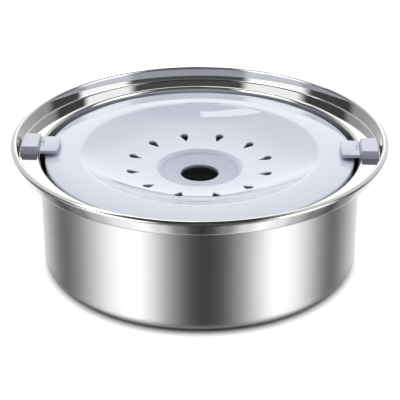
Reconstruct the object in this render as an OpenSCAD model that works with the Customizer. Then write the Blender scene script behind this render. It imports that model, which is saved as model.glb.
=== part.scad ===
// No-spill water bowl: a pressed steel bowl, a float with a drinking dish, and two flip-up latches.
// Origin at the centre of the base, +Z up, latches on the X axis. Millimetres.

/* [Bowl] */
// Outside diameter of the rim
rim_d = 266; // [262:1:280]
// Height of the bowl
bowl_h = 95; // [80:1:120]
// Thickness of the steel sheet
sheet = 0.6; // [0.5:0.1:0.8]
// Lean of the wall, outwards going up
wall_draft = 0.5; // [0.3:0.05:0.8]
// Outside radius of the base corner
corner_r = 9.1; // [7:0.1:11]
// Height of the raised panel in the base
panel_rise = 1; // [0.6:0.1:1.5]
// Diameter of the raised panel in the base
panel_d = 176; // [150:1:186]

/* [Rim] */
// Width of the rim, from the upstand's root to the outer edge
lip_w = 5; // [4.6:0.1:5.6]
// Width of the ledge, from the upstand's root to the outside of the wall
ledge_w = 14.5; // [13.5:0.1:15.5]
// Depth of the ledge below the top of the rim
ledge_drop = 10.1; // [9.2:0.1:11.4]
// Radius of the ledge's inner edge, on the upper face
ledge_edge_r = 2.2; // [1.6:0.1:2.6]
// Inside radius of the bend between ledge and upstand
upstand_bend_r = 1; // [0.8:0.1:1.2]
// Lean of the upstand, outwards going up
upstand_lean = 4; // [2:0.5:5]
// Outside radius of the lip's inner edge
lip_in_r = 1.6; // [1.3:0.1:1.8]
// Outside radius of the lip's outer edge
lip_out_r = 1.2; // [1.1:0.1:1.4]
// Fall of the lip's top face towards the outside
lip_fall = 10; // [6:1:12]
// Gap between the folded skirt and the upstand's root
hem_gap = 0.15; // [0.1:0.05:0.3]
// Angle through which the skirt's edge wraps round the upstand's root
hem_wrap = 30; // [20:5:50]

/* [Float] */
// Gap between the float's edge and the inside of the wall
float_gap = 3.4; // [3:0.1:5]
// Depth of the float's edge below the top of the rim, with the bowl full
float_drop = 13; // [12:0.1:17]
// Height of the float at its edge
float_h = 21; // [18:0.5:24]
// Thickness of the float's skin
skin = 2.4; // [2:0.1:2.8]
// Thickness of the float's side walls
side_wall = 2.2; // [1.8:0.1:2.6]
// Lean of the float's skirt, inwards going down
float_draft = 3; // [2:0.5:4]
// Radius of the float's top edge
edge_r = 1.5; // [1:0.1:2]
// Outside radius of the float's bottom corner
float_corner_r = 4; // [3.5:0.1:5]
// Width of the border, from the float's edge to the crest round the dish
border_w = 25.2; // [20:0.2:28]
// Rise of the border from the edge to the crest
border_rise = 2.1; // [1:0.1:3]
// Gap between the drip holes and the air chamber's inner wall
chamber_gap = 4.2; // [3:0.1:8]
// Thickness of the plate that closes the air chamber
plate = 2.2; // [1.8:0.1:2.6]
// Height of the rings that locate that plate
spigot_h = 3; // [2:0.5:4]
// Thickness of the rings that locate that plate
spigot_t = 1.4; // [1:0.1:1.8]

/* [Dish] */
// Radius of the arc that the dish follows
dish_r = 128; // [115:1:140]
// Radius from the axis at which that arc is level
dish_level_r = 28; // [24:1:30]
// Height of the lowest point of that arc above the float's bottom
dish_floor_h = 9.8; // [9.4:0.1:11]
// Diameter of the centre hole
centre_hole_d = 27; // [20:1:30]
// Depth of the centre hole's edge below the dish
recess_depth = 4.6; // [3:0.1:4.9]
// Slope of the recess floor, as rise over run
recess_slope = 0.143; // [0.1:0.005:0.18]
// Diameter of the crease round the recess floor
crease_d = 53.6; // [48:0.2:56]
// Slope of the recess wall, as rise over run
recess_wall_slope = 0.667; // [0.5:0.01:0.9]

/* [Drip holes] */
// Number of teardrop holes
drip_count = 12; // [8:1:14]
// Radius from the axis to the centre of each hole's round end
drip_ring_r = 50.1; // [46:0.1:51]
// Radius of the round end
drip_r = 2.85; // [2:0.05:3.2]
// Length from the round end's centre to the point
drip_tail = 6.95; // [5:0.05:8]

/* [Moulded marks] */
// Angle that each mark covers, along the crest
mark_angle = 18; // [10:1:30]
// Radius of the rounded groove
mark_r = 0.9; // [0.7:0.1:1.2]
// Depth of the groove
mark_depth = 0.4; // [0.2:0.05:0.5]

/* [Latches] */
// Width of the latch, along the rim
latch_w = 24.6; // [23:0.1:27]
// Thickness of the latch's lower strip
strip_t = 2.8; // [2.6:0.1:3.2]
// Distance from the upstand's root to the hinge pin
hinge_back = 16; // [15.4:0.1:16.6]
// Reach of the tongue, inwards from the hinge pin
tongue_l = 12.6; // [10:0.1:15]
// Gap between the pin's centre line and the raised pad
pad_gap = 2; // [1.8:0.1:2.2]
// Height of the raised pad above the strip
pad_rise = 2.6; // [2:0.1:3.2]
// Step between the strip's side and the pad's side
pad_inset = 0.3; // [0.2:0.05:0.6]
// Gap between the latch base and the start of the upstand's bend
base_gap = 0.15; // [0.1:0.05:0.5]
// Radius of the tongue's inner corners
tongue_corner_r = 3; // [2:0.1:4]
// Width of the middle knuckle
knuckle_w = 8.2; // [7:0.1:10]
// Gap between moving parts of the latch
run_gap = 0.3; // [0.25:0.05:0.35]
// Diameter of the hinge pin
pin_d = 1.2; // [1:0.05:1.3]
// Radial clearance of the pin in the middle knuckle
pin_clear = 0.05; // [0.02:0.01:0.08]
// Depth that the pin's ends are sunk into the tongue
pin_sink = 0.6; // [0.3:0.1:1]

/* [Latch screws] */
// Distance between the two screws
screw_pitch = 13.5; // [11:0.5:15]
// Diameter of the screw's shank
screw_d = 2.6; // [2.2:0.1:2.9]
// Depth of the screw in the latch base
screw_bite = 4; // [3:0.1:4.2]
// Diameter of the screw's head
head_d = 5.4; // [5:0.1:6]
// Height of the screw's head
head_h = 1.8; // [1.6:0.1:2.2]
// Diameter of the seal washer
seal_d = 6.6; // [6.2:0.1:7]
// Thickness of the seal washer
seal_t = 0.8; // [0.6:0.1:1]
// Radial clearance of the screw in the ledge and in its washer
screw_clear = 0.3; // [0.1:0.05:0.4]

/* [Hidden] */
$fn = 180;
small_fn = 32;
past = 1;

steel = [0.78, 0.78, 0.79];
float_colour = [0.84, 0.86, 0.91];
latch_colour = [0.83, 0.84, 0.89];
seal_colour = [0.2, 0.2, 0.21];

// Radii that several parts share, from the rim inwards
upstand_r = rim_d / 2 - lip_w;
wall_top_r = upstand_r - ledge_w;
float_r = wall_top_r - sheet - float_gap;
crest_r = float_r - border_w;
chamber_r = drip_ring_r + drip_r + chamber_gap;
hinge_r = upstand_r - hinge_back;

// Heights that several parts share
ledge_z = bowl_h - ledge_drop;
float_top_z = bowl_h - float_drop;
float_z = float_top_z - float_h;

// Points along an arc in the profile plane, from angle a0 to a1, at most arc_step apart
arc_step = 12;
function arc(c, r, a0, a1) =
    let (n = max(1, ceil(abs(a1 - a0) / arc_step)))
    [for (i = [0:n]) let (a = a0 + (a1 - a0) * i / n) [c[0] + r * cos(a), c[1] + r * sin(a)]];
function reversed(list) = [for (i = [len(list) - 1:-1:0]) list[i]];
function joined(lists) = [for (l = lists) for (p = l) p];

// Smaller or larger of two heights, with the corner between them rounded over a height k
function soft_min(a, b, k) = min(a, b) - pow(max(k - abs(a - b), 0), 2) / (4 * k);
function soft_max(a, b, k) = -soft_min(-a, -b, k);

// Bends of the sheet's middle surface, from the base outwards: centre, radius, start, end and side.
// Side 1 bends anticlockwise, side -1 clockwise. Straight runs join one bend to the next.
// The skirt touches the lip's outer bend and the bend that wraps round the upstand's root, so its
// lean follows from the two.
half = sheet / 2;
panel_bend = 30;
panel_r = panel_rise / (2 * (1 - cos(panel_bend)));
panel_edge = panel_d / 2;
corner_x = wall_top_r - corner_r / cos(wall_draft) - (ledge_z - corner_r) * tan(wall_draft);
corner_c = [corner_x, corner_r];
wall_x0 = corner_c[0] + (corner_r - half) * cos(wall_draft);
wall_z0 = corner_c[1] - (corner_r - half) * sin(wall_draft);
edge_mid_r = ledge_edge_r - half;
edge_z = ledge_z - ledge_edge_r;
edge_x = wall_x0 + (edge_z + edge_mid_r * sin(wall_draft) - wall_z0) * tan(wall_draft)
    + edge_mid_r * cos(wall_draft);
up_mid_r = upstand_bend_r + half;
up_c = [upstand_r - upstand_bend_r * cos(upstand_lean), ledge_z + upstand_bend_r];
lip_mid_r = lip_in_r - half;
lip_z = bowl_h - lip_in_r;
up_x0 = up_c[0] + up_mid_r * cos(upstand_lean);
up_z0 = up_c[1] - up_mid_r * sin(upstand_lean);
lip_x = up_x0 + (lip_z + lip_mid_r * sin(upstand_lean) - up_z0) * tan(upstand_lean)
    + lip_mid_r * cos(upstand_lean);
out_mid_r = lip_out_r - half;
out_x = rim_d / 2 - lip_out_r;
out_z = lip_z + (lip_mid_r - out_mid_r - (out_x - lip_x) * sin(lip_fall)) / cos(lip_fall);
hem_mid_r = up_mid_r + sheet + hem_gap;
hem_to_lip = [out_x - up_c[0], out_z - up_c[1]];
skirt_lean = acos((hem_mid_r - out_mid_r) / norm(hem_to_lip)) - atan2(hem_to_lip[1], hem_to_lip[0]);
bends = [
    [[panel_edge, panel_rise + half - panel_r], panel_r, 90, 90 - panel_bend, -1],
    [[panel_edge + 2 * panel_r * sin(panel_bend), half + panel_r], panel_r, 270 - panel_bend, 270, 1],
    [corner_c, corner_r - half, 270, 360 - wall_draft, 1],
    [[edge_x, edge_z], edge_mid_r, 180 - wall_draft, 90, -1],
    [up_c, up_mid_r, 270, 360 - upstand_lean, 1],
    [[lip_x, lip_z], lip_mid_r, 180 - upstand_lean, 90 - lip_fall, -1],
    [[out_x, out_z], out_mid_r, 90 - lip_fall, -skirt_lean, -1],
    [up_c, hem_mid_r, -skirt_lean, -skirt_lean - hem_wrap, -1]
];
function sheet_side(offset) = joined([for (b = bends) arc(b[0], b[1] + b[4] * offset, b[2], b[3])]);

// Latch places, on the right-hand latch
strip_z = ledge_z + strip_t;
barrel_r = (strip_t - run_gap) / 2;
hinge_z = strip_z - barrel_r;
base_in_x = hinge_r + barrel_r + run_gap;
base_out_r = upstand_r - upstand_bend_r - base_gap;
pad_in_x = hinge_r + pad_gap;
screw_x = (base_in_x + base_out_r) / 2;
ledge_under_z = ledge_z - sheet;

module at_screws() {
    for (side = [-1, 1])
        translate([screw_x, side * screw_pitch / 2, 0])
            children();
}

module bowl() {
    color(steel)
        difference() {
            rotate_extrude()
                polygon(joined([
                    [[0, panel_rise]],
                    sheet_side(half),
                    reversed(sheet_side(-half)),
                    [[0, panel_rise + sheet]]
                ]));
            for (turn = [0, 180])
                rotate([0, 0, turn])
                    at_screws()
                        translate([0, 0, ledge_under_z - past])
                            cylinder(d = screw_d + 2 * screw_clear, h = sheet + 2 * past, $fn = small_fn);
        }
}

// Height of the float's upper face at a radius from the axis. The dish and the border are blended
// only near the crest, because the border's curve drops below the dish further in.
dish_z = float_z + dish_floor_h;
hole_z = dish_z - recess_depth;
crease_z = hole_z + (crease_d - centre_hole_d) / 2 * recess_slope;
crest_round = 0.8;
crest_reach = 12;
step_round = 0.5;
function dish(r) = dish_z + dish_r - sqrt(pow(dish_r, 2) - pow(r - dish_level_r, 2));
function border(r) = float_top_z + border_rise * (1 - pow((r - crest_r) / border_w, 2));
function recess(r) = soft_max(hole_z + (r - centre_hole_d / 2) * recess_slope,
    crease_z + (r - crease_d / 2) * recess_wall_slope, step_round);
function basin(r) = soft_min(dish(r), recess(r), step_round);
function top_z(r) = r < crest_r - crest_reach ? basin(r) : soft_min(basin(r), border(r), crest_round);

// The float's top edge: an arc that starts along the border and ends along the skirt
edge_c_r = float_r - edge_r;
edge_fall = atan(2 * border_rise * (edge_c_r - crest_r) / pow(border_w, 2));
edge_in_r = edge_c_r + edge_r * sin(edge_fall);
edge_c_z = top_z(edge_in_r) - edge_r * cos(edge_fall);

// Radii at which the upper face is drawn, closer together at the recess wall and at the crest
brow_r = crease_d / 2 + (dish_z - crease_z) / recess_wall_slope;
turn_w = 2;
stops = [centre_hole_d / 2, crease_d / 2 - turn_w, brow_r + turn_w, crest_r - 2 * turn_w,
    crest_r + 2 * turn_w, edge_in_r];
steps = [3, 0.7, 3, 1, 3];
function span(a, b, step) = let (n = ceil((b - a) / step)) [for (i = [0:n - 1]) a + (b - a) * i / n];
profile_radii = joined([
    for (i = [0:len(steps) - 1]) span(stops[i], stops[i + 1], steps[i]),
    [edge_in_r]
]);

// Radius of the float's skirt at a height, and the seam between the two mouldings
function skirt_r(z) = edge_c_r + edge_r / cos(float_draft) - (edge_c_z - z) * tan(float_draft);
seam_z = float_z + float_corner_r;
weld_gap = 0.1;

module drip_hole() {
    tangent = acos(drip_r / drip_tail);
    linear_extrude(height = float_h + border_rise)
        polygon(joined([
            [[drip_ring_r - drip_tail, 0]],
            arc([drip_ring_r, 0], drip_r, -180 + tangent, 180 - tangent)
        ]));
}

module float_dish() {
    roof_z = top_z(edge_in_r) - skin;
    roof_r = skirt_r(roof_z) - side_wall;
    roof = [for (r = profile_radii) if (r > chamber_r + side_wall && r < roof_r - side_wall)
        [r, top_z(r) - skin]];
    floor_under = [for (r = profile_radii) if (r < chamber_r) [r, top_z(r) - skin]];
    color(float_colour)
        difference() {
            rotate_extrude()
                polygon(joined([
                    [for (r = profile_radii) [r, top_z(r)]],
                    arc([edge_c_r, edge_c_z], edge_r, 90 - edge_fall, -float_draft),
                    [[skirt_r(seam_z), seam_z], [skirt_r(seam_z) - side_wall, seam_z]],
                    [[roof_r, roof_z]],
                    reversed(roof),
                    [[chamber_r + side_wall, top_z(chamber_r + side_wall) - skin]],
                    [[chamber_r + side_wall, float_z + plate], [chamber_r, float_z + plate]],
                    [[chamber_r, top_z(chamber_r) - skin]],
                    reversed(floor_under)
                ]));
            for (i = [0:drip_count - 1])
                rotate([0, 0, 360 / drip_count * (i + 0.5) + 90])
                    translate([0, 0, float_z])
                        drip_hole();
            for (turn = [90, 270])
                rotate([0, 0, turn - mark_angle / 2])
                    rotate_extrude(angle = mark_angle)
                        translate([crest_r, top_z(crest_r) + mark_r - mark_depth])
                            circle(r = mark_r, $fn = small_fn);
        }
}

module float_base() {
    base_corner_x = skirt_r(seam_z) - float_corner_r;
    outer_spigot = skirt_r(seam_z) - side_wall - weld_gap;
    inner_spigot = chamber_r + side_wall + weld_gap;
    color(float_colour)
        rotate_extrude()
            polygon(joined([
                [[chamber_r, float_z]],
                arc([base_corner_x, float_z + float_corner_r], float_corner_r, 270, 360),
                [[outer_spigot, seam_z], [outer_spigot, seam_z + spigot_h]],
                [[outer_spigot - spigot_t, seam_z + spigot_h], [outer_spigot - spigot_t, float_z + plate]],
                [[inner_spigot + spigot_t, float_z + plate]],
                [[inner_spigot + spigot_t, float_z + plate + spigot_h]],
                [[inner_spigot, float_z + plate + spigot_h], [inner_spigot, float_z + plate]],
                [[chamber_r, float_z + plate]]
            ]));
}

// A cylinder along the hinge line, centred on the latch's middle
module hinge_rod(r, w) {
    translate([hinge_r, 0, hinge_z])
        rotate([90, 0, 0])
            cylinder(r = r, h = w, center = true, $fn = small_fn);
}

module latch_base() {
    color(latch_colour)
        difference() {
            union() {
                // The outer end is round, so that it follows the upstand
                intersection() {
                    union() {
                        translate([base_in_x, -latch_w / 2, ledge_z])
                            cube([base_out_r - base_in_x, latch_w, strip_t]);
                        translate([pad_in_x, -latch_w / 2 + pad_inset, ledge_z])
                            cube([base_out_r - pad_in_x, latch_w - 2 * pad_inset, strip_t + pad_rise]);
                    }
                    translate([0, 0, ledge_z - past])
                        cylinder(r = base_out_r, h = strip_t + pad_rise + 2 * past);
                }
                hinge_rod(barrel_r, knuckle_w);
                translate([hinge_r, -knuckle_w / 2, hinge_z - barrel_r])
                    cube([base_in_x - hinge_r + past, knuckle_w, barrel_r]);
            }
            hinge_rod(pin_d / 2 + pin_clear, knuckle_w + 2 * past);
            at_screws()
                translate([0, 0, ledge_z - past])
                    cylinder(d = screw_d, h = screw_bite + past, $fn = small_fn);
        }
}

module latch_tongue() {
    slot_w = knuckle_w + 2 * run_gap;
    corner_in_x = hinge_r - tongue_l + tongue_corner_r;
    corner_y = latch_w / 2 - tongue_corner_r;
    color(latch_colour)
        difference() {
            union() {
                translate([0, 0, hinge_z - barrel_r])
                    linear_extrude(height = 2 * barrel_r)
                        polygon(joined([
                            [[hinge_r, -latch_w / 2], [hinge_r, latch_w / 2]],
                            arc([corner_in_x, corner_y], tongue_corner_r, 90, 180),
                            arc([corner_in_x, -corner_y], tongue_corner_r, 180, 270)
                        ]));
                hinge_rod(barrel_r, latch_w);
            }
            translate([hinge_r - barrel_r - run_gap, -slot_w / 2, hinge_z - barrel_r - past])
                cube([2 * barrel_r + 2 * run_gap, slot_w, 2 * barrel_r + 2 * past]);
            hinge_rod(pin_d / 2, latch_w - 2 * pin_sink);
        }
}

module latch_pin() {
    color(steel)
        hinge_rod(pin_d / 2, latch_w - 2 * pin_sink);
}

module latch_screws() {
    recess_w = head_d / 8;
    recess_l = head_d / 2;
    recess_d = head_h / 2;
    head_z = ledge_under_z - seal_t - head_h;
    color(steel)
        at_screws()
            difference() {
                union() {
                    translate([0, 0, head_z])
                        cylinder(d = head_d, h = head_h, $fn = small_fn);
                    translate([0, 0, head_z])
                        cylinder(d = screw_d, h = head_h + seal_t + sheet + screw_bite, $fn = small_fn);
                }
                for (turn = [0, 90])
                    rotate([0, 0, turn])
                        translate([-recess_l / 2, -recess_w / 2, head_z - past])
                            cube([recess_l, recess_w, recess_d + past]);
            }
}

module latch_seals() {
    color(seal_colour)
        at_screws()
            translate([0, 0, ledge_under_z - seal_t])
                difference() {
                    cylinder(d = seal_d, h = seal_t, $fn = small_fn);
                    translate([0, 0, -past])
                        cylinder(d = screw_d + 2 * screw_clear, h = seal_t + 2 * past, $fn = small_fn);
                }
}

module on_left() {
    mirror([1, 0, 0])
        children();
}

bowl();
float_dish();
float_base();
on_left() latch_base();  // left_latch_base
on_left() latch_tongue();  // left_latch_tongue
on_left() latch_pin();  // left_latch_pin
on_left() latch_screws();  // left_latch_screws
on_left() latch_seals();  // left_latch_seals
latch_base();  // right_latch_base
latch_tongue();  // right_latch_tongue
latch_pin();  // right_latch_pin
latch_screws();  // right_latch_screws
latch_seals();  // right_latch_seals
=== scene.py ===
# %% [markdown]
# # A steel water bowl with a floating dish
#
# This script dresses a water bowl that was first built as a CAD model. The CAD model fixes where
# every part is and how it moves. Here each part gets the smooth surface and the finish of the real
# one. The bowl is pressed from one sheet of stainless steel, the float is two plastic mouldings, and
# a small latch on each side keeps the float in.
#
# The order is: load the frame, place the camera, bend and spin the steel sheet, mould the float,
# build the latches, finish the small fittings, then set up the floor and the lights. Lengths are in
# metres and angles in degrees.

# %% Load the frame
import math

import bmesh
import bpy
from mathutils import Matrix, Vector


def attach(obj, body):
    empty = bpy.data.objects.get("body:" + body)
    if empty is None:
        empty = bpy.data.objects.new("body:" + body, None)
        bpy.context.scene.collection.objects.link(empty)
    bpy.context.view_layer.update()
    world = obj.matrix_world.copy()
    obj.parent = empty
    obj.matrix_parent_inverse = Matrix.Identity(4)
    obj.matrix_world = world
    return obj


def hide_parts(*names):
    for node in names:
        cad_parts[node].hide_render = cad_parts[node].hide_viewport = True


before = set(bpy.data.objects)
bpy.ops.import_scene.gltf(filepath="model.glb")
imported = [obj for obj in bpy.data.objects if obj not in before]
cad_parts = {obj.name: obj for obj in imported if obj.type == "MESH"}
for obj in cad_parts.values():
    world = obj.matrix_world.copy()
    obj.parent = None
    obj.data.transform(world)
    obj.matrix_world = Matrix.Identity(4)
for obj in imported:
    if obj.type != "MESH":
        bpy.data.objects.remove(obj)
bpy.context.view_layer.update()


# %% Small helpers
ON_ITS_SIDE = Matrix.Rotation(math.radians(90), 4, "X")


def sine(degrees):
    return math.sin(math.radians(degrees))


def cosine(degrees):
    return math.cos(math.radians(degrees))


def slope_of(degrees):
    return math.tan(math.radians(degrees))


def add_object(name, data):
    """A new object in the scene, at the origin."""
    thing = bpy.data.objects.new(name, data)
    bpy.context.scene.collection.objects.link(thing)
    return thing


# %% [markdown]
# ## The camera
#
# The photograph was taken with a longish lens from a little over a metre away, looking down by
# 27 degrees. The camera is placed by angle and distance about a point inside the bowl, so each
# number can be changed by itself.

# %% Place the camera
LOOK_AT = Vector((0.00019, 0, 0.0444))
DISTANCE = 1.151
ELEVATION = 26.83
AZIMUTH = 1.9
LENS_MM = 143.8
SENSOR_MM = 36

lens = bpy.data.cameras.new("studio_camera")
lens.lens = LENS_MM
lens.sensor_width = SENSOR_MM
camera = add_object("studio_camera", lens)
away = Vector((sine(AZIMUTH) * cosine(ELEVATION), -cosine(AZIMUTH) * cosine(ELEVATION), sine(ELEVATION)))
camera.location = LOOK_AT + DISTANCE * away
camera.rotation_euler = (-away).to_track_quat("-Z", "Y").to_euler()
bpy.context.scene.camera = camera
bpy.context.scene.view_settings.view_transform = "Standard"
print("camera at", [round(c, 3) for c in camera.location])

# %% [markdown]
# ## Drawing a line as a bender would
#
# The bowl, the float and its base are all turned shapes. Each is drawn as a line in the plane
# y = 0 and then spun about the upright axis. The line could be typed as a list of points, but
# arcs made that way are hard to change. Instead a straight run extrudes the tip of the line, and
# a bend spins that tip about a centre. A short step at both ends of a run keeps the soft shading
# of the bend out of the flat part, which matters on polished steel.

# %% Helpers for the line
STEPS_ROUND = 240
END_STEP = 0.0006
SAME_PLACE = 1e-6


def on_circle(centre, radius, degrees):
    """A point of the line's plane, on a circle, at an angle measured from outwards to upwards."""
    return Vector((centre[0] + radius * cosine(degrees), 0, centre[1] + radius * sine(degrees)))


def step_to(line, tip, place):
    """Lengthens the line by one straight edge."""
    new = bmesh.ops.extrude_vert_indiv(line, verts=[tip])["verts"][0]
    new.co = place
    return new


def run_to(line, tip, place):
    """Lengthens the line by a straight run, with a short step at each end."""
    start, length = tip.co.copy(), (place - tip.co).length
    if length > 4 * END_STEP:
        along = (place - start) / length
        tip = step_to(line, tip, start + along * END_STEP)
        tip = step_to(line, tip, place - along * END_STEP)
    return step_to(line, tip, place)


def bend(line, tip, centre, start, end, step=6):
    """Lengthens the line by an arc about a centre, from one angle to another."""
    steps = max(2, math.ceil(abs(end - start) / step))
    made = bmesh.ops.spin(line, geom=[tip], cent=(centre[0], 0, centre[1]), axis=(0, 1, 0),
                          angle=math.radians(start - end), steps=steps)
    return [v for v in made["geom_last"] if isinstance(v, bmesh.types.BMVert)][0]


# %% Helpers for turned shapes
def everything(shape):
    """All of a shape, as a list for an operator."""
    return shape.verts[:] + shape.edges[:] + shape.faces[:]


def spin_up(shape, degrees, steps, **options):
    """Spins all of a shape about the upright axis."""
    bmesh.ops.spin(shape, geom=everything(shape), cent=(0, 0, 0), axis=(0, 0, 1),
                   angle=math.radians(degrees), steps=steps, **options)


def turn_line(line):
    """Spins the line once round the upright axis and closes the seam and the pole."""
    spin_up(line, 360, STEPS_ROUND, use_merge=True)
    bmesh.ops.remove_doubles(line, verts=line.verts, dist=SAME_PLACE)
    bmesh.ops.recalc_face_normals(line, faces=line.faces)


def mesh_object(shape, name):
    """Turns a bmesh into a smooth-shaded object."""
    mesh = bpy.data.meshes.new(name)
    shape.to_mesh(mesh)
    shape.free()
    mesh.polygons.foreach_set("use_smooth", [True] * len(mesh.polygons))
    return add_object(name, mesh)


def make_piece(shape, name, materials, body, node):
    """Turns a bmesh into an object that rides on a body and stands for a CAD node."""
    piece = mesh_object(shape, name)
    for material in materials:
        piece.data.materials.append(material)
    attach(piece, body)
    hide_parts(node)
    print(f"{name}: {len(piece.data.polygons)} faces")
    return piece


# %% [markdown]
# ## Finishes that several materials share
#
# Two effects come back on more than one piece, so each is a node group. `fine wear` gives a slow
# drift in roughness, as handling and wiping leave on any surface, with finer specks inside it.
# `turned lines` gives the fine rings that a polishing wheel leaves on a spinning bowl: noise that is
# very long along the turn and very short across it. Both read Object coordinates, so they stay
# fixed to the piece when it moves.

# %% Helpers for shader nodes
def feed(tree, node, values):
    """Sets a node's inputs, by name or by number, each from a socket or from a plain value."""
    for key, value in values.items():
        if isinstance(value, bpy.types.NodeSocket):
            tree.links.new(value, node.inputs[key])
        else:
            node.inputs[key].default_value = value


def add_node(tree, kind, values=None, **settings):
    """A shader node with its settings made and its inputs fed by name or by number."""
    node = tree.nodes.new("ShaderNode" + kind)
    for label, setting in settings.items():
        setattr(node, label, setting)
    feed(tree, node, values or {})
    return node


def maths(tree, kind, *operands):
    """A Math node. Each operand is a socket or a number."""
    return add_node(tree, "Math", dict(enumerate(operands)), operation=kind).outputs[0]


def ease(tree, value, start, end):
    """0 up to start, 1 from end on, and smooth between."""
    limits = {"Value": value, "From Min": start, "From Max": end}
    return add_node(tree, "MapRange", limits, interpolation_type="SMOOTHSTEP").outputs[0]


def object_place(tree):
    """Object coordinates, which stay fixed to the piece."""
    return add_node(tree, "TexCoord").outputs["Object"]


def from_axis(tree):
    """Distance from the upright axis, in Object coordinates."""
    flat = add_node(tree, "VectorMath", {0: object_place(tree), 1: (1, 1, 0)}, operation="MULTIPLY")
    return add_node(tree, "VectorMath", {0: flat.outputs[0]}, operation="LENGTH").outputs["Value"]


def new_group(name, inputs, outputs):
    """An empty shader group with named number sockets, its input node and its output node."""
    group = bpy.data.node_groups.new(name, "ShaderNodeTree")
    for side, labels in (("INPUT", inputs), ("OUTPUT", outputs)):
        for label in labels:
            group.interface.new_socket(label, in_out=side, socket_type="NodeSocketFloat")
    return group, group.nodes.new("NodeGroupInput"), group.nodes.new("NodeGroupOutput")


# %% Group: fine wear
wear, wear_in, wear_out = new_group("fine wear", ["Scale", "Roughness", "Drift"], ["Roughness", "Mask"])
slow = add_node(wear, "TexNoise", {"Vector": object_place(wear), "Scale": wear_in.outputs["Scale"],
                                   "Detail": 5, "Roughness": 0.6}).outputs[0]
swing = maths(wear, "MULTIPLY", maths(wear, "SUBTRACT", slow, 0.5), wear_in.outputs["Drift"])
drifting = maths(wear, "ADD", swing, wear_in.outputs["Roughness"])
feed(wear, wear_out, {"Roughness": drifting, "Mask": slow})
print("group", wear.name, "has", len(wear.nodes), "nodes")

# %% Group: turned lines
WAVES_ROUND = 2.5
rings, rings_in, rings_out = new_group("turned lines", ["Lines per metre"], ["Height"])
lines = rings_in.outputs["Lines per metre"]
split = add_node(rings, "SeparateXYZ", {0: object_place(rings)})
angle = maths(rings, "ARCTAN2", split.outputs["Y"], split.outputs["X"])
stretched = add_node(rings, "CombineXYZ", {"X": maths(rings, "MULTIPLY", from_axis(rings), lines),
                                           "Y": maths(rings, "MULTIPLY", angle, WAVES_ROUND),
                                           "Z": maths(rings, "MULTIPLY", split.outputs["Z"], lines)})
grain = add_node(rings, "TexNoise", {"Vector": stretched.outputs[0], "Scale": 1, "Detail": 3})
feed(rings, rings_out, {"Height": grain.outputs[0]})
print("group", rings.name, "has", len(rings.nodes), "nodes")

# %% [markdown]
# ## The steel
#
# The bowl has two main finishes. The rim, the upstand and the ledge are polished to a mirror. The
# wall is satin: a belt ran round it, so light spreads up and down but stays sharp from side to side.
# That is what makes tall, even bands on the wall. Anisotropy does the same here. Its tangent runs
# round the axis, and a quarter turn is needed because the shader spreads light along the tangent.
# The fine rings in the bump carry the effect into close views. The inside, which shows only through
# the float's holes, is a plainer steel.

# %% Steel materials
LINE_DEPTH = 0.00002
QUARTER_TURN = 0.25
STEEL_WEAR_SCALE = 25


def new_material(name):
    """A material with a Principled shader and nothing linked to it yet."""
    material = bpy.data.materials.new(name)
    material.use_nodes = True
    tree = material.node_tree
    return material, tree, tree.nodes["Principled BSDF"]


def add_wear(tree, shader, scale, roughness, drift):
    """Feeds a shader's roughness from the wear group, and returns the group's mask."""
    node = add_node(tree, "Group", {"Scale": scale, "Roughness": roughness, "Drift": drift}, node_tree=wear)
    feed(tree, shader, {"Roughness": node.outputs["Roughness"]})
    return node.outputs["Mask"]


def add_bump(tree, shader, height, strength, distance):
    """Feeds a shader's normal from a height."""
    node = add_node(tree, "Bump", {"Height": height, "Strength": strength, "Distance": distance})
    feed(tree, shader, {"Normal": node.outputs[0]})


def steel(name, colour, roughness, drift, lines, strength, anisotropy=0):
    """Stainless steel turned about the bowl's axis."""
    material, tree, shader = new_material(name)
    feed(tree, shader, {"Base Color": colour, "Metallic": 1, "Anisotropic": anisotropy})
    add_wear(tree, shader, STEEL_WEAR_SCALE, roughness, drift)
    ring = add_node(tree, "Group", {"Lines per metre": lines}, node_tree=rings)
    add_bump(tree, shader, ring.outputs["Height"], strength, LINE_DEPTH)
    if anisotropy:
        tangent = add_node(tree, "Tangent", direction_type="RADIAL", axis="Z")
        feed(tree, shader, {"Tangent": tangent.outputs[0], "Anisotropic Rotation": QUARTER_TURN})
    return material


mirror_steel = steel("polished steel", (0.53, 0.53, 0.53, 1), roughness=0.04, drift=0.02,
                     lines=1500, strength=0.04)
satin_steel = steel("satin steel", (0.62, 0.62, 0.62, 1), roughness=0.34, drift=0.06,
                    lines=2600, strength=0.15, anisotropy=0.85)
inside_steel = steel("inside steel", (0.66, 0.66, 0.66, 1), roughness=0.22, drift=0.05,
                     lines=1500, strength=0.1)
print("steel finishes:", mirror_steel.name, satin_steel.name, inside_steel.name)

# %% [markdown]
# ## The bowl
#
# The bowl is drawn the way it is pressed. One line follows the inside and top of the sheet: the raised
# panel in the base, the base corner, the wall, the ledge, the upstand, the lip, and the skirt
# whose edge folds round the root of the upstand. Spinning the line makes the surface, and `solidify`
# gives it the sheet's thickness. A thick solid with the inside cut out would also work, but
# it would hide that the part is one bent sheet.

# %% Sizes of the bowl
# After the overall sizes these go from the base panel out to the hem.
RIM_R = 0.133
BOWL_H = 0.095
SHEET = 0.0006
PANEL_R = 0.088
PANEL_RISE = 0.001
PANEL_BEND = 30
CORNER_R = 0.0091
WALL_LEAN = 0.5
LEDGE_Z = BOWL_H - 0.0101
UPSTAND_R = RIM_R - 0.005
WALL_R = UPSTAND_R - 0.0145
EDGE_R = 0.0022
ROOT_R = 0.001
UPSTAND_LEAN = 4
LIP_IN_R = 0.0016
LIP_OUT_R = 0.0012
LIP_FALL = 20
HEM_GAP = 0.00015
HEM_WRAP = 30
print(f"the bowl is {RIM_R * 2000:.0f} mm across the rim and {BOWL_H * 1000:.0f} mm high")

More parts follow.
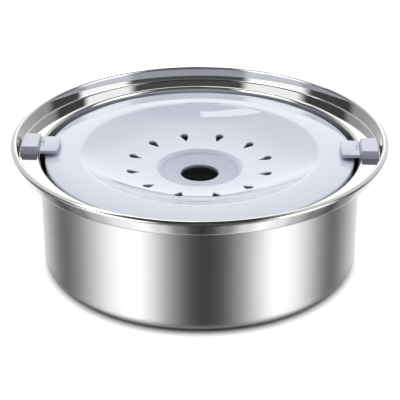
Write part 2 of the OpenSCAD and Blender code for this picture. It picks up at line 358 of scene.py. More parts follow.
# %% Where each bend has its centre
panel_r = PANEL_RISE / (2 * (1 - cosine(PANEL_BEND)))
corner_x = WALL_R - CORNER_R / cosine(WALL_LEAN) - (LEDGE_Z - CORNER_R) * slope_of(WALL_LEAN)
corner = (corner_x, CORNER_R)
wall_in_r = CORNER_R - SHEET
edge_z = LEDGE_Z - EDGE_R
edge_x = corner_x + (wall_in_r + EDGE_R) / cosine(WALL_LEAN) + (edge_z - CORNER_R) * slope_of(WALL_LEAN)
root = (UPSTAND_R - ROOT_R * cosine(UPSTAND_LEAN), LEDGE_Z + ROOT_R)
lip_z = BOWL_H - LIP_IN_R
lip_x = root[0] + (ROOT_R + LIP_IN_R) / cosine(UPSTAND_LEAN) + (lip_z - root[1]) * slope_of(UPSTAND_LEAN)
out_x = RIM_R - LIP_OUT_R
out_z = lip_z + (LIP_IN_R - LIP_OUT_R - (out_x - lip_x) * sine(LIP_FALL)) / cosine(LIP_FALL)
hem_r = ROOT_R + 2 * SHEET + HEM_GAP
span = (out_x - root[0], out_z - root[1])
skirt_lean = math.degrees(math.acos((hem_r - LIP_OUT_R) / math.hypot(*span)) - math.atan2(span[1], span[0]))
print(f"the skirt leans in by {skirt_lean:.1f} degrees")
print(f"the wall meets the ledge at radius {edge_x * 1000:.1f} mm")

# %% Bend the sheet's line and spin it
# Each bend has a centre, a radius, and the angles at which it starts and ends.
panel_top = (PANEL_R, PANEL_RISE + SHEET / 2 - panel_r)
panel_foot = (PANEL_R + 2 * panel_r * sine(PANEL_BEND), SHEET / 2 + panel_r)
BENDS = [
    (panel_top, panel_r + SHEET / 2, 90, 90 - PANEL_BEND),
    (panel_foot, panel_r - SHEET / 2, 270 - PANEL_BEND, 270),
    (corner, wall_in_r, 270, 360 - WALL_LEAN),
    ((edge_x, edge_z), EDGE_R, 180 - WALL_LEAN, 90),
    (root, ROOT_R, 270, 360 - UPSTAND_LEAN),
    ((lip_x, lip_z), LIP_IN_R, 180 - UPSTAND_LEAN, 90 - LIP_FALL),
    ((out_x, out_z), LIP_OUT_R, 90 - LIP_FALL, -skirt_lean),
    (root, hem_r, -skirt_lean, -skirt_lean - HEM_WRAP),
]
sheet_line = bmesh.new()
tip = sheet_line.verts.new((0, 0, PANEL_RISE + SHEET))
for centre, radius, start, end in BENDS:
    tip = run_to(sheet_line, tip, on_circle(centre, radius, start))
    tip = bend(sheet_line, tip, centre, start, end)
print("the sheet's line has", len(sheet_line.verts), "points")
turn_line(sheet_line)

# %% Give the sheet its thickness
# The lowest face has to look up, into the bowl, because the thickness is added behind it.
lowest = min(sheet_line.faces, key=lambda f: f.calc_center_median().z)
if lowest.normal.z < 0:
    bmesh.ops.reverse_faces(sheet_line, faces=sheet_line.faces)
bmesh.ops.solidify(sheet_line, geom=sheet_line.faces[:], thickness=SHEET)
print("the sheet has", len(sheet_line.faces), "faces")

# %% Give each part of the sheet its finish
# Faces start with the first finish, polished, and the rim, upstand and ledge keep it.
SATIN, INSIDE = 1, 2
for face in sheet_line.faces:
    at = face.calc_center_median()
    outward = face.normal.x * at.x + face.normal.y * at.y > 0
    downward = face.normal.z < -0.5
    if at.z < edge_z:
        face.material_index = SATIN if outward or downward else INSIDE
bowl = make_piece(sheet_line, "steel_bowl", [mirror_steel, satin_steel, inside_steel],
                  "bowl_body", "bowl")
heights = [v.co.z * 1000 for v in bowl.data.vertices]
bowl_r = max(v.co.x * 1000 for v in bowl.data.vertices)
print(f"bowl from z {min(heights):.2f} to {max(heights):.2f} mm, radius {bowl_r:.2f} mm")

# %% [markdown]
# ## The plastic
#
# The float and the latches are moulded in a pale lilac-grey plastic with a soft gloss. A flat
# colour looks like paint, so three slow effects are added: the shade drifts a little, the
# roughness follows the wear group, and a very shallow ripple bends the reflections, as a moulding
# that cooled unevenly does. Round the centre hole the float's colour is darkened, which is painted
# shade for the recess, and its roughness is raised there too, both blended by the distance from
# the axis.

# %% Plastic materials
FLOAT_SHADES = (0.62, 0.655, 0.755, 1), (0.65, 0.685, 0.775, 1)
LATCH_SHADES = (0.54, 0.55, 0.66, 1), (0.57, 0.58, 0.68, 1)
PLASTIC_WEAR_SCALE = 18
PLASTIC_DRIFT = 0.05
PLASTIC_IOR = 1.49
RIPPLE_DEPTH = 0.0003


def blend_colour(tree, share, a, b):
    """Goes from one colour to another as share goes from 0 to 1. Each is a socket or a tuple."""
    return add_node(tree, "Mix", {0: share, 6: a, 7: b}, data_type="RGBA").outputs[2]


def plastic(name, shades, roughness, ripple):
    """Moulded plastic whose shade drifts between two close colours."""
    material, tree, shader = new_material(name)
    mask = add_wear(tree, shader, PLASTIC_WEAR_SCALE, roughness, PLASTIC_DRIFT)
    feed(tree, shader, {"IOR": PLASTIC_IOR, "Base Color": blend_colour(tree, mask, *shades)})
    add_bump(tree, shader, mask, ripple, RIPPLE_DEPTH)
    return material


float_plastic = plastic("float plastic", FLOAT_SHADES, roughness=0.05, ripple=0.02)
latch_plastic = plastic("latch plastic", LATCH_SHADES, roughness=0.18, ripple=0.05)
print("plastics:", float_plastic.name, latch_plastic.name)

# %% Painted shade and extra roughness in the float's recess
# The recess colour is painted shade: it darkens the float round the centre hole, where the recess lies.
RECESS_PAINTED_SHADE = (0.44, 0.465, 0.565, 1)
RECESS_ROUGHER = 0.3
RECESS_EDGE = 0.0262, 0.0292
float_tree = float_plastic.node_tree
float_shader = float_tree.nodes["Principled BSDF"]
shade, roughness = [float_shader.inputs[label].links[0].from_socket for label in ("Base Color", "Roughness")]
outside = ease(float_tree, from_axis(float_tree), *RECESS_EDGE)
extra = maths(float_tree, "MULTIPLY", maths(float_tree, "SUBTRACT", 1, outside), RECESS_ROUGHER)
feed(float_tree, float_shader, {"Base Color": blend_colour(float_tree, outside, RECESS_PAINTED_SHADE, shade),
                                "Roughness": maths(float_tree, "ADD", roughness, extra)})
print("the float's shader has", len(float_tree.nodes), "nodes")

# %% [markdown]
# ## The float
#
# The float's upper face is three forms that run into each other: a nearly flat recess round the
# centre hole, a shallow dish, and a border that falls away to the edge. Each is a simple height
# by itself, and `soft_min` and `soft_max` join two heights with a rounded corner. The line follows
# those heights step by step, with shorter steps where the face turns.

# %% Sizes of the float
FLOAT_GAP = 0.0034
FLOAT_R = WALL_R - SHEET - FLOAT_GAP
FLOAT_H = 0.021
FLOAT_TOP_Z = BOWL_H - 0.013
FLOAT_Z = FLOAT_TOP_Z - FLOAT_H
FLOAT_LEAN = 3
FLOAT_EDGE_R = 0.0015
SKIN = 0.0024
SIDE = 0.0022
PLATE = 0.0022
CHAMBER_R = 0.05715
SEAM_Z = FLOAT_Z + 0.004
print(f"the float is {FLOAT_R * 2000:.1f} mm across")

# %% Sizes of its upper face
# The crease is where the recess's floor meets its wall, and the brow is where the wall meets the dish.
BORDER_W = 0.0252
BORDER_RISE = 0.0021
CREST_R = FLOAT_R - BORDER_W
CREST_SOFT = 0.0008
BORDER_REACH = 0.012
DISH_R = 0.128
DISH_LEVEL_R = 0.028
DISH_Z = FLOAT_Z + 0.0098
HOLE_R = 0.0135
HOLE_Z = DISH_Z - 0.0046
HOLE_ROUND = 0.0005
RECESS_SLOPE = 0.143
RECESS_WALL = 0.667
RECESS_SOFT = 0.0005
CREASE_R = 0.0268
CREASE_Z = HOLE_Z + (CREASE_R - HOLE_R) * RECESS_SLOPE
BROW_R = CREASE_R + (DISH_Z - CREASE_Z) / RECESS_WALL
print(f"the recess ends at radius {BROW_R * 1000:.1f} mm and the crest is at {CREST_R * 1000:.1f} mm")


# %% Heights of the upper face
def soft_min(a, b, k):
    """The lower of two heights, with the corner rounded where they differ by less than k."""
    return min(a, b) - max(k - abs(a - b), 0) ** 2 / (4 * k)


def soft_max(a, b, k):
    """The higher of two heights, rounded in the same way."""
    return -soft_min(-a, -b, k)


def top_z(r):
    """Height of the float's upper face at a radius."""
    recess_floor = HOLE_Z + (r - HOLE_R) * RECESS_SLOPE
    recess_wall = CREASE_Z + (r - CREASE_R) * RECESS_WALL
    dish = DISH_Z + DISH_R - math.sqrt(DISH_R ** 2 - (r - DISH_LEVEL_R) ** 2)
    basin = soft_min(dish, soft_max(recess_floor, recess_wall, RECESS_SOFT), RECESS_SOFT)
    if r < CREST_R - BORDER_REACH:
        return basin
    border = FLOAT_TOP_Z + BORDER_RISE * (1 - ((r - CREST_R) / BORDER_W) ** 2)
    return soft_min(basin, border, CREST_SOFT)


edge_c_r = FLOAT_R - FLOAT_EDGE_R
edge_fall = math.degrees(math.atan(2 * BORDER_RISE * (edge_c_r - CREST_R) / BORDER_W ** 2))
edge_in_r = edge_c_r + FLOAT_EDGE_R * sine(edge_fall)
edge_c_z = top_z(edge_in_r) - FLOAT_EDGE_R * cosine(edge_fall)


def skirt_r(z):
    """Radius of the float's skirt at a height."""
    return edge_c_r + FLOAT_EDGE_R / cosine(FLOAT_LEAN) - (edge_c_z - z) * slope_of(FLOAT_LEAN)


print(f"the dish is {(top_z(CREST_R) - DISH_Z) * 1000:.1f} mm deep")


# %% Helpers for a line along the upper face
def follow(line, tip, radii, drop):
    """Lengthens the line along the upper face, or along a face that lies below it by drop."""
    for r in radii:
        tip = step_to(line, tip, Vector((r, 0, top_z(r) - drop)))
    return tip


def spread(stops, last):
    """Radii up to the last one. Each stop is a radius and the spacing from there to the next stop."""
    radii = []
    for (start, gap), (end, _) in zip(stops, stops[1:] + [(last, 0)]):
        count = max(1, math.ceil(abs(end - start) / gap))
        radii += [start + (end - start) * k / count for k in range(count)]
    return radii + [last]


COARSE = 0.004
throat_r = HOLE_R + HOLE_ROUND
top_radii = spread([(throat_r, 0.0015), (CREASE_R - 0.0025, 0.0003), (BROW_R + 0.0025, 0.0022),
                    (CREST_R - 0.004, 0.0005), (CREST_R + 0.004, 0.0022)], edge_in_r)
under_radii = spread([(CHAMBER_R, COARSE), (BROW_R + 0.003, 0.001), (CREASE_R - 0.003, COARSE)], throat_r)
print(len(top_radii), "points along the upper face and", len(under_radii), "below it")

# %% Draw and spin the float's upper moulding
roof_z = top_z(edge_in_r) - SKIN
roof_r = skirt_r(roof_z) - SIDE
seam_r = skirt_r(SEAM_Z)
throat_top = (throat_r, top_z(throat_r) - HOLE_ROUND)
throat_low = (throat_r, top_z(throat_r) - SKIN + HOLE_ROUND)
moulding = bmesh.new()
tip = moulding.verts.new((throat_r, 0, top_z(throat_r)))
tip = follow(moulding, tip, top_radii[1:], 0)
tip = bend(moulding, tip, (edge_c_r, edge_c_z), 90 - edge_fall, -FLOAT_LEAN)
for r, z in ((seam_r, SEAM_Z), (seam_r - SIDE, SEAM_Z), (roof_r, roof_z)):
    tip = run_to(moulding, tip, Vector((r, 0, z)))
tip = follow(moulding, tip, spread([(roof_r - SIDE, COARSE)], CHAMBER_R + SIDE), SKIN)
for r in (CHAMBER_R + SIDE, CHAMBER_R):
    tip = run_to(moulding, tip, Vector((r, 0, FLOAT_Z + PLATE)))
tip = follow(moulding, tip, under_radii, SKIN)
tip = bend(moulding, tip, throat_low, 270, 180, step=15)
tip = run_to(moulding, tip, on_circle(throat_top, HOLE_ROUND, 180))
tip = bend(moulding, tip, throat_top, 180, 90, step=15)
turn_line(moulding)
print("the moulding has", len(moulding.faces), "faces before the holes are cut")

# %% [markdown]
# ## Holes with a soft brim
#
# Twelve teardrop holes let water rise into the dish. A boolean cuts them with one cutter. The cutter
# is a teardrop that is extruded upwards and flares out where it passes through the face, so each
# hole gets a small even brim, and its loops are set to the dish's own height so the brim stays
# even on the slope. The same cutter holds the two short marks that the photograph shows on the
# crest, at the front and the back. A boolean leaves long thin faces that would show as streaks on a
# glossy part, so the plain dish is kept for a moment and its normals are copied back onto the cut one.

# %% The teardrop cutter
DRIP_COUNT = 12
DRIP_RING_R = 0.0501
DRIP_R = 0.00285
DRIP_TAIL = 0.00695
# With this turn the line through the latches passes midway between two holes.
DRIP_TURN = 105
BRIM = 0.00035
# How much wider than the hole each loop of the cutter is, and how far above the face it lies.
BRIM_LOOPS = (0, -BRIM), (BRIM * 0.3, -BRIM * 0.3), (BRIM, 0), (BRIM * 2, BRIM)


def rotate_up(shape, degrees):
    """Turns a shape about the upright axis."""
    turn = Matrix.Rotation(math.radians(degrees), 3, "Z")
    bmesh.ops.rotate(shape, verts=shape.verts, cent=(0, 0, 0), matrix=turn)


def drip_cutter():
    """One hole's cutter. A circle is given its point, and is then extruded up from under the float."""
    shape = bmesh.new()
    made = bmesh.ops.create_circle(shape, cap_ends=True, segments=40, radius=DRIP_R,
                                   matrix=Matrix.Translation((DRIP_RING_R, 0, FLOAT_Z)))
    point = min(made["verts"], key=lambda v: v.co.x)
    reach = DRIP_R ** 2 / DRIP_TAIL
    spare = [v for v in made["verts"] if v is not point and DRIP_RING_R - v.co.x > reach]
    bmesh.ops.dissolve_verts(shape, verts=spare)
    point.co.x = DRIP_RING_R - DRIP_TAIL
    face = point.link_faces[0]
    reached = 0
    for grow, lift in BRIM_LOOPS:
        made = bmesh.ops.extrude_face_region(shape, geom=[face])["geom"]
        # The first face stays as the cutter's floor. Any later one would be a wall inside it.
        if lift > BRIM_LOOPS[0][1]:
            bmesh.ops.delete(shape, geom=[face], context="FACES_ONLY")
        face = [g for g in made if isinstance(g, bmesh.types.BMFace)][0]
        wider = (DRIP_R + grow) / (DRIP_R + reached)
        reached = grow
        bmesh.ops.scale(shape, verts=face.verts, vec=(wider, wider, 1),
                        space=Matrix.Translation((-DRIP_RING_R, 0, 0)))
        for v in face.verts:
            v.co.z = top_z(math.hypot(v.co.x, v.co.y)) + lift
    return shape


cutter = drip_cutter()
rotate_up(cutter, DRIP_TURN)
spin_up(cutter, 360 * (DRIP_COUNT - 1) / DRIP_COUNT, DRIP_COUNT - 1, use_duplicate=True)
bmesh.ops.recalc_face_normals(cutter, faces=cutter.faces)
print("the cutter has", len(cutter.faces), "faces for", DRIP_COUNT, "holes")

# %% The cutter for the moulded marks
MARK_R = 0.0009
MARK_DEPTH = 0.0004
MARK_ANGLE = 18
for facing in (90, 270):
    mark = bmesh.new()
    middle = Vector((CREST_R, 0, top_z(CREST_R) + MARK_R - MARK_DEPTH))
    bmesh.ops.create_circle(mark, segments=20, radius=MARK_R, cap_ends=True,
                            matrix=Matrix.Translation(middle) @ ON_ITS_SIDE)
    spin_up(mark, MARK_ANGLE, 16)
    rotate_up(mark, facing - MARK_ANGLE / 2)
    bmesh.ops.recalc_face_normals(mark, faces=mark.faces)
    holder = bpy.data.meshes.new("mark")
    mark.to_mesh(holder)
    mark.free()
    cutter.from_mesh(holder)
    bpy.data.meshes.remove(holder)
print("with the marks the cutter has", len(cutter.faces), "faces")


# %% Helpers for booleans
def apply_modifiers(piece):
    """Replaces the piece's mesh by what its modifiers make of it."""
    made = bpy.data.meshes.new_from_object(piece.evaluated_get(bpy.context.evaluated_depsgraph_get()))
    piece.modifiers.clear()
    piece.data = made


def combine(piece, shape, operation):
    """Joins a shape to a piece, or cuts it away, and applies the result."""
    other = mesh_object(shape, "other")
    step = piece.modifiers.new("combine", "BOOLEAN")
    step.object = other
    step.operation = operation
    step.solver = "EXACT"
    apply_modifiers(piece)
    bpy.data.objects.remove(other)


# %% Cut the float and copy the smooth normals back
ON_FACE = 5e-6
plain_dish = mesh_object(moulding.copy(), "plain_dish")
float_dish = make_piece(moulding, "float_top", [float_plastic], "float_body", "float_dish")
combine(float_dish, cutter, "DIFFERENCE")
kept = []
for v in float_dish.data.vertices:
    r = math.hypot(v.co.x, v.co.y)
    if throat_r < r < edge_in_r and abs(v.co.z - top_z(r)) < ON_FACE:
        kept.append(v.index)
float_dish.vertex_groups.new(name="on_face").add(kept, 1, "REPLACE")
copy_normals = float_dish.modifiers.new("normals", "DATA_TRANSFER")
copy_normals.object = plain_dish
copy_normals.vertex_group = "on_face"
copy_normals.use_loop_data = True
copy_normals.data_types_loops = {"CUSTOM_NORMAL"}
copy_normals.loop_mapping = "POLYINTERP_NEAREST"
apply_modifiers(float_dish)
bpy.data.objects.remove(plain_dish)
print("after the cut the float has", len(float_dish.data.polygons), "faces")
print(len(kept), "of its points lie on the upper face")

# %% [markdown]
# ## The ring under the float
#
# A second moulding closes the float's air chamber from below. It is welded to the first where the
# skirt ends. It hides inside the bowl, but it shows when the float is lifted, so it is drawn and
# spun like the rest, with its rounded corner and the two short rings that locate it.

# %% Draw and spin the ring
SPIGOT_H = 0.003
SPIGOT_T = 0.0014
WELD = 0.0001
BASE_ROUND = 0.004
base_c = (seam_r - BASE_ROUND, FLOAT_Z + BASE_ROUND)
outer_spigot = seam_r - SIDE - WELD
inner_spigot = CHAMBER_R + SIDE + WELD
plate_z = FLOAT_Z + PLATE
ring_line = bmesh.new()
tip = ring_line.verts.new((CHAMBER_R, 0, FLOAT_Z))
tip = run_to(ring_line, tip, on_circle(base_c, BASE_ROUND, 270))
tip = bend(ring_line, tip, base_c, 270, 360)
for r, z in ((outer_spigot, SEAM_Z), (outer_spigot, SEAM_Z + SPIGOT_H),
             (outer_spigot - SPIGOT_T, SEAM_Z + SPIGOT_H), (outer_spigot - SPIGOT_T, plate_z),
             (inner_spigot + SPIGOT_T, plate_z), (inner_spigot + SPIGOT_T, plate_z + SPIGOT_H),
             (inner_spigot, plate_z + SPIGOT_H), (inner_spigot, plate_z),
             (CHAMBER_R, plate_z), (CHAMBER_R, FLOAT_Z)):
    tip = run_to(ring_line, tip, Vector((r, 0, z)))
turn_line(ring_line)
make_piece(ring_line, "float_ring", [float_plastic], "float_body", "float_base")

# %% [markdown]
# ## The latches
#
# Each latch has a moulded base that is screwed to the ledge, and a tongue that lies over the float's
# edge and flips up on a pin. Both are blocks whose edges are rounded before the knuckles of the hinge
# are joined on, so the bevel doesn't have to deal with the hinge. The union and the slot are booleans,
# as the shapes are small and plain. The right one is built, and the left one is its mirror image.

# %% Sizes of the latch
LATCH_W = 0.0246
STRIP_T = 0.0028
HINGE_R = UPSTAND_R - 0.016
PLAY = 0.0003
BARREL_R = (STRIP_T - PLAY) / 2
KNUCKLE_W = 0.0082
SLOT_PLAY = 0.00012
BASE_IN_R = HINGE_R + BARREL_R + PLAY
BASE_OUT_R = UPSTAND_R - 0.00115
PAD_RISE = 0.0026
PAD_INSET = 0.0003
PAD_STEP = 0.0008
PAD_TAPER = (0.975, 0.985, 1)
PAD_ROUND = 0.00055
TONGUE_L = 0.0121
TONGUE_CORNER_R = 0.003
TONGUE_ROUND = 0.0005
ROD_ROUND = 0.00015
WEB_REACH = 0.001
SLOT_H = 0.003
# An edge counts as upright when it climbs by more than this, and as part of the tongue's free end
# when it reaches this far from the hinge line.
UPRIGHT = 0.001
CLEAR_OF_HINGE = 0.0005
strip_z = LEDGE_Z + STRIP_T
hinge = Vector((HINGE_R, 0, strip_z - BARREL_R))
print("the hinge line is at", [round(c * 1000, 2) for c in hinge], "mm")


# %% Helpers for blocks and rods
def rise_of(edge):
    """How far an edge climbs."""
    return abs(edge.verts[0].co.z - edge.verts[1].co.z)


def round_edges(shape, edges, radius, segments):
    """Rounds edges off, in a number of segments."""
    bmesh.ops.bevel(shape, geom=edges, offset=radius, offset_type="OFFSET", affect="EDGES",
                    segments=segments, profile=0.5, material=-1)


def block(low, high):
    """A box between two corners, made from a unit cube."""
    shape, low, high = bmesh.new(), Vector(low), Vector(high)
    size = Matrix.Diagonal((*(high - low), 1))
    bmesh.ops.create_cube(shape, size=1, matrix=Matrix.Translation((low + high) / 2) @ size)
    return shape


def hinge_rod(radius, width):
    """A rod along the hinge line, with slightly rounded ends."""
    shape = bmesh.new()
    bmesh.ops.create_cone(shape, cap_ends=True, segments=48, radius1=radius, radius2=radius, depth=width,
                          matrix=Matrix.Translation(hinge) @ ON_ITS_SIDE)
    ends = [e for e in shape.edges if abs(e.verts[0].co.y - e.verts[1].co.y) < SAME_PLACE]
    round_edges(shape, ends, ROD_ROUND, 2)
    return shape


# %% Block of the base
def base_block(slices=12):
    """The strip on the ledge, with the raised pad on it. Its outer end follows the upstand."""
    shape = block((BASE_IN_R, -LATCH_W / 2, LEDGE_Z), (BASE_OUT_R, LATCH_W / 2, strip_z))
    for cut in range(1, slices):
        bmesh.ops.bisect_plane(shape, geom=everything(shape), plane_no=(0, 1, 0),
                               plane_co=(0, (cut / slices - 0.5) * LATCH_W, 0))
    top = [f for f in shape.faces if f.calc_center_median().z > strip_z - SAME_PLACE]
    bmesh.ops.inset_region(shape, faces=top, thickness=PAD_STEP, use_even_offset=True)
    inner = {v for f in top for v in f.verts if v.co.x < BASE_IN_R + PAD_STEP + SAME_PLACE}
    bmesh.ops.translate(shape, verts=list(inner), vec=(PAD_INSET - PAD_STEP, 0, 0))
    lifted = bmesh.ops.extrude_face_region(shape, geom=top)["geom"]
    crown = [g for g in lifted if isinstance(g, bmesh.types.BMVert)]
    bmesh.ops.translate(shape, verts=crown, vec=(0, 0, PAD_RISE))
    middle = Vector(((BASE_IN_R + BASE_OUT_R) / 2, 0, 0))
    bmesh.ops.scale(shape, verts=crown, vec=PAD_TAPER, space=Matrix.Translation(-middle))
    bmesh.ops.delete(shape, geom=top, context="FACES_ONLY")
    for v in shape.verts:
        share = (v.co.x - BASE_IN_R) / (BASE_OUT_R - BASE_IN_R)
        v.co.x -= share * (BASE_OUT_R - math.sqrt(BASE_OUT_R ** 2 - v.co.y ** 2))
    soft = [e for e in shape.edges if e.calc_face_angle(0) > 1
            and (max(v.co.z for v in e.verts) > strip_z + SAME_PLACE or rise_of(e) > UPRIGHT)]
    round_edges(shape, soft, PAD_ROUND, 4)
    return shape


# %% Block of the tongue
def tongue_block():
    """The plate that reaches over the float, with round inner corners and soft edges."""
    shape = block((HINGE_R - TONGUE_L, -LATCH_W / 2, hinge.z - BARREL_R),
                  (HINGE_R, LATCH_W / 2, hinge.z + BARREL_R))
    corners = [e for e in shape.edges if rise_of(e) > UPRIGHT
               and e.verts[0].co.x < HINGE_R - CLEAR_OF_HINGE]
    round_edges(shape, corners, TONGUE_CORNER_R, 8)
    level = [e for e in shape.edges if rise_of(e) < SAME_PLACE
             and min(v.co.x for v in e.verts) < HINGE_R - CLEAR_OF_HINGE]
    round_edges(shape, level, TONGUE_ROUND, 3)
    return shape


# %% Helpers for the pieces of a latch
CRISP_ANGLE = 35


def latch_piece(shape, name, body, node):
    """A piece in the latches' plastic."""
    return make_piece(shape, name, [latch_plastic], body, node)


def shade_by_angle(piece):
    """Smooth on the rounded edges, crisp where two faces meet at a larger angle."""
    piece.data.set_sharp_from_angle(angle=math.radians(CRISP_ANGLE))


def mirror_left(piece, name, body, node):
    """Makes the left-hand copy of a right-hand piece."""
    shape = bmesh.new()
    shape.from_mesh(piece.data)
    bmesh.ops.scale(shape, verts=shape.verts, vec=(-1, 1, 1))
    bmesh.ops.recalc_face_normals(shape, faces=shape.faces)
    shade_by_angle(latch_piece(shape, name, body, node))


# %% Join the knuckle to the base
base = latch_piece(base_block(), "right_latch_base_moulding", "bowl_body", "right_latch_base")
combine(base, hinge_rod(BARREL_R, KNUCKLE_W), "UNION")
web = block((HINGE_R, -KNUCKLE_W / 2, hinge.z - BARREL_R),
            (HINGE_R + BARREL_R + WEB_REACH, KNUCKLE_W / 2, hinge.z))
combine(base, web, "UNION")
shade_by_angle(base)
print("latch box at the top:", round(max(v.co.z for v in base.data.vertices) * 1000, 2), "mm")

# %% Join the barrel to the tongue and cut the slot for the knuckle
tongue = latch_piece(tongue_block(), "right_latch_tongue_moulding", "right_tongue_body", "right_latch_tongue")
combine(tongue, hinge_rod(BARREL_R, LATCH_W), "UNION")
slot = block((HINGE_R - BARREL_R - SLOT_PLAY, -KNUCKLE_W / 2 - SLOT_PLAY, hinge.z - SLOT_H),
             (HINGE_R + BARREL_R + PLAY, KNUCKLE_W / 2 + SLOT_PLAY, hinge.z + SLOT_H))
combine(tongue, slot, "DIFFERENCE")
shade_by_angle(tongue)
print("after the slot is cut the tongue has", len(tongue.data.polygons), "faces")

# %% Mirror both to the left
mirror_left(base, "left_latch_base_moulding", "bowl_body", "left_latch_base")
mirror_left(tongue, "left_latch_tongue_moulding", "left_tongue_body", "left_latch_tongue")

# %% [markdown]
# ## The small fittings
#
# The pins, the screws and their seals keep the CAD shapes, which are already right. They get their
# own finishes: bright turned steel for the metal, and matt rubber with a fine grain for the seals.

# %% Finishes of the fittings
RUBBER_SHADES = (0.02, 0.02, 0.022, 1), (0.05, 0.05, 0.054, 1)
fitting_steel = steel("bright fittings", (0.60, 0.60, 0.61, 1), roughness=0.22, drift=0.10,
                      lines=4000, strength=0.1)
rubber, rubber_tree, rubber_shader = new_material("seal rubber")
rubber_mask = add_wear(rubber_tree, rubber_shader, scale=60, roughness=0.75, drift=0.2)
feed(rubber_tree, rubber_shader, {"Base Color": blend_colour(rubber_tree, rubber_mask, *RUBBER_SHADES)})
add_bump(rubber_tree, rubber_shader, rubber_mask, strength=0.3, distance=0.0002)
for node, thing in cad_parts.items():
    finish = {"pin": fitting_steel, "screws": fitting_steel, "seals": rubber}.get(node.split("_")[-1])
    if finish:
        thing.data.materials.clear()
        thing.data.materials.append(finish)
        print(node, "gets", finish.name)

# %% [markdown]
# ## Floor and background
#
# The bowl stands in a studio on pure white. The floor is a pale diffuse sheet that takes the
# bowl's shadow. Camera rays also see a glow on it, which makes the paper white without turning up
# a lamp. The glow fades out right at the bowl's foot, which paints a darker ring there: a painted
# contact shadow on top of the real one. From below the sheet is clear, so the bowl's underside can
# be looked at.

# %% Helpers for the studio
def stage_material(name):
    """A material with an empty node tree, and the tree's output."""
    material = bpy.data.materials.new(name)
    material.use_nodes = True
    material.node_tree.nodes.clear()
    return material, material.node_tree, add_node(material.node_tree, "OutputMaterial")


def stage_piece(shape, name, material):
    """A piece of the studio, which is no part of the bowl."""
    thing = mesh_object(shape, name)
    thing.data.materials.append(material)
    return thing


def seen_by(tree, *kinds):
    """1 for the named kinds of ray, 0 for the rest."""
    path = add_node(tree, "LightPath")
    total = path.outputs[kinds[0]]
    for kind in kinds[1:]:
        total = maths(tree, "MAXIMUM", total, path.outputs[kind])
    return total


def mix_shaders(tree, share, a, b):
    """Goes from one shader to another as share goes from 0 to 1."""
    return add_node(tree, "MixShader", {0: share, 1: a, 2: b}).outputs[0]


# %% Floor
PAPER = (0.8, 0.8, 0.8, 1)
PAPER_GLOW = 0.85
PAINTED_SHADOW_EDGE = 0.1065, 0.1185
FLOOR_HALF_W = 6
FLOOR_Z = -0.0001
floor_material, floor_tree, floor_out = stage_material("studio floor")
# Fading the glow near the foot paints a darker ring there: a painted contact shadow.
outside_painted_shadow = ease(floor_tree, from_axis(floor_tree), *PAINTED_SHADOW_EDGE)
shown = maths(floor_tree, "MULTIPLY", seen_by(floor_tree, "Is Camera Ray", "Is Transmission Ray"), PAPER_GLOW)
glow = add_node(floor_tree, "Emission", {"Strength": maths(floor_tree, "MULTIPLY", shown, outside_painted_shadow)})
paper = add_node(floor_tree, "BsdfDiffuse", {"Color": PAPER})
both = add_node(floor_tree, "AddShader", {0: paper.outputs[0], 1: glow.outputs[0]}).outputs[0]
from_below = add_node(floor_tree, "NewGeometry").outputs["Backfacing"]
nothing = add_node(floor_tree, "BsdfTransparent").outputs[0]
feed(floor_tree, floor_out, {"Surface": mix_shaders(floor_tree, from_below, both, nothing)})
sheet_of_paper = bmesh.new()
bmesh.ops.create_grid(sheet_of_paper, x_segments=1, y_segments=1, size=FLOOR_HALF_W,
                      matrix=Matrix.Translation((0, 0, FLOOR_Z)))
floor = stage_piece(sheet_of_paper, "studio_floor", floor_material)
floor.visible_glossy = False
print("floor at z", FLOOR_Z)

# %% [markdown]
# ## What the steel reflects
#
# Polished steel shows only what stands round it, so the studio is laid out by direction in the
# world, and only glossy rays see it. Each list goes round from the camera's side to behind the bowl:
# dark in front, white on both sides, dark again, and white behind. The low cards are what the
# wall shows, the steep ones are what the skirt of the rim shows, and the high ones, with harder
# edges, are for the upstand, the ledge and the float. The ceiling is dark. The floor is hidden from
# glossy rays, as the wall would otherwise show bare paper instead of the cards. Right at the foot a
# small ring stands in for the floor, seen by glossy rays only: it is a painted shadow, dark under the
# foot, with a painted glowing band just outside, so the base corner mirrors a dark contact line below
# a light line.

# %% Grey levels of the studio
# Each pair is an angle round the compass, from the camera's side at 0 to behind the bowl at 180,
# and the grey level there.
LOW_CARDS = [(0, 0.01), (12, 0.11), (25, 0.6), (37, 1.5), (50, 2.1), (66, 1.5), (80, 0.9), (98, 0.35),
             (112, 0.1), (124, 0.36), (138, 0.8), (152, 1.2), (180, 1.1)]
STEEP_CARDS = [(0, 0.07), (14, 0.11), (41, 0.42), (63, 1.25), (80, 1.85), (95, 1.5), (107, 0.87),
               (118, 0.37), (130, 0.15), (140, 0.43), (150, 1.05), (160, 1.3), (180, 1.2)]
HIGH_CARDS = [(0, 0.2), (35, 0.2), (43, 2.8), (76, 2.8), (84, 0.15), (108, 0.15), (118, 0.85),
              (150, 1.1), (162, 1.25), (170, 1.9), (180, 2.0)]
CEILING = 0.07
AIR = 0.35
# The cards in front stand off centre by these angles, to the camera's right.
LOW_SHIFT, HIGH_SHIFT = 6, 10
SHIFT_FADE = 60, 110
# Where one band of cards gives way to the next, as the sine of how steeply a direction looks up.
STEEP_TO_LOW = -0.72, -0.55
LOW_TO_HIGH = -0.05, 0.08
HIGH_TO_CEILING = 0.82, 0.90
print("world light for diffuse rays:", AIR)

# %% World
world = bpy.data.worlds.new("studio")
bpy.context.scene.world = world
world.use_nodes = True
sky = world.node_tree
sky.nodes.clear()
compass = add_node(sky, "SeparateXYZ", {0: add_node(sky, "TexCoord").outputs["Generated"]})
upward = compass.outputs["Z"]
toward = maths(sky, "MULTIPLY", compass.outputs["Y"], -1)
bearing = maths(sky, "ARCTAN2", compass.outputs["X"], toward)
off_front = ease(sky, maths(sky, "ABSOLUTE", bearing), *[math.radians(a) for a in SHIFT_FADE])
in_front = maths(sky, "SUBTRACT", 1, off_front)


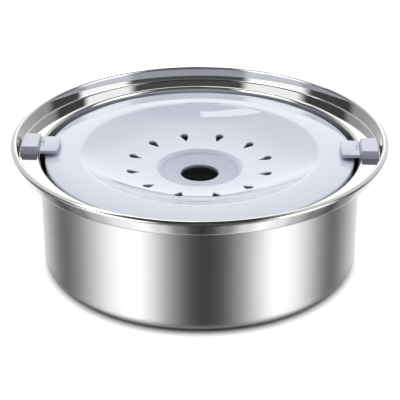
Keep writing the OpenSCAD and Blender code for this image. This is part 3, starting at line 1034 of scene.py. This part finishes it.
def card_ring(cards, shift):
    """The grey level of a direction, from a list of cards."""
    shifted = maths(sky, "SUBTRACT", bearing, maths(sky, "MULTIPLY", in_front, math.radians(shift)))
    turned = maths(sky, "DIVIDE", maths(sky, "ABSOLUTE", shifted), math.pi)
    node = add_node(sky, "ValToRGB", {0: turned})
    node.color_ramp.interpolation = "EASE"
    stops = node.color_ramp.elements
    while len(stops) < len(cards):
        stops.new(0.5)
    for stop, (angle, level) in zip(stops, cards):
        stop.position = angle / 180
        stop.color = (level, level, level, 1)
    return node.outputs[0]


def blend(tree, share, a, b):
    """Goes from a to b as share goes from 0 to 1. Both may be numbers."""
    rest = maths(tree, "SUBTRACT", 1, share)
    return maths(tree, "ADD", maths(tree, "MULTIPLY", rest, a), maths(tree, "MULTIPLY", share, b))


low = card_ring(LOW_CARDS, LOW_SHIFT)
level = blend(sky, ease(sky, upward, *STEEP_TO_LOW), card_ring(STEEP_CARDS, LOW_SHIFT), low)
level = blend(sky, ease(sky, upward, *LOW_TO_HIGH), level, card_ring(HIGH_CARDS, HIGH_SHIFT))
level = blend(sky, ease(sky, upward, *HIGH_TO_CEILING), level, CEILING)
plain = blend(sky, seen_by(sky, "Is Camera Ray", "Is Transmission Ray"), AIR, 1)
cards, air = [add_node(sky, "Background", {"Color": (1, 1, 1, 1), "Strength": strength}).outputs[0]
              for strength in (level, plain)]
surface = mix_shaders(sky, seen_by(sky, "Is Glossy Ray"), air, cards)
add_node(sky, "OutputWorld", {"Surface": surface})
print("the world has", len(sky.nodes), "nodes")

# %% The ring at the foot: a painted shadow and a painted glowing band for the steel to mirror
FOOT_IN_R = 0.1037
FOOT_R = 0.119
FOOT_Z = -0.00005
FOOT_PAINTED_GLOW = 0.36
FOOT_PAINTED_GLOW_EDGE = 0.1098, 0.1132
FOOT_FADE_R = 0.114
foot_material, foot_tree, foot_out = stage_material("painted foot shadow ring")
far = from_axis(foot_tree)
# Dark under the foot and glowing just outside it: a painted shadow and a painted light line, seen only in
# reflections.
lit = maths(foot_tree, "MULTIPLY", ease(foot_tree, far, *FOOT_PAINTED_GLOW_EDGE), FOOT_PAINTED_GLOW)
painted_foot_glow = add_node(foot_tree, "Emission", {"Strength": lit}).outputs[0]
gone = add_node(foot_tree, "BsdfTransparent").outputs[0]
faded = mix_shaders(foot_tree, ease(foot_tree, far, FOOT_FADE_R, FOOT_R), painted_foot_glow, gone)
feed(foot_tree, foot_out, {"Surface": faded})
band = bmesh.new()
step_to(band, band.verts.new((FOOT_IN_R, 0, FOOT_Z)), Vector((FOOT_R, 0, FOOT_Z)))
turn_line(band)
foot = stage_piece(band, "painted_foot_shadow_ring", foot_material)
foot.visible_camera = foot.visible_diffuse = foot.visible_shadow = foot.visible_transmission = False
print("painted foot shadow ring out to", FOOT_R, "m")

# %% [markdown]
# ## Lamps
#
# One large softbox overhead and a little behind lights the plastic evenly. Glossy rays don't see
# it, because the ceiling in the photograph is dark. A small window at the back left is what shines
# in the dish: it is placed along the direction in which the dish mirrors the camera's ray.

# %% Lamps
def softbox(name, place, aim, width, height, watts, roll=0):
    """A rectangular lamp that points at a place."""
    lamp = bpy.data.lights.new(name, "AREA")
    lamp.shape = "RECTANGLE"
    lamp.size = width
    lamp.size_y = height
    lamp.energy = watts
    thing = add_object(name, lamp)
    thing.location = place
    thing.rotation_euler = (Vector(aim) - Vector(place)).to_track_quat("-Z", "Y").to_euler()
    thing.rotation_euler.rotate_axis("Z", math.radians(roll))
    return thing


overhead = softbox("overhead", (0, 0.35, 1.3), (0, 0, 0.05), 2.0, 1.6, watts=15)
overhead.visible_glossy = False
window = softbox("window", (-0.34, 0.52, 1.15), (0, 0.05, 0.08), 0.66, 0.11, watts=1.2, roll=-26)
print("lamps:", overhead.name, "and", window.name)
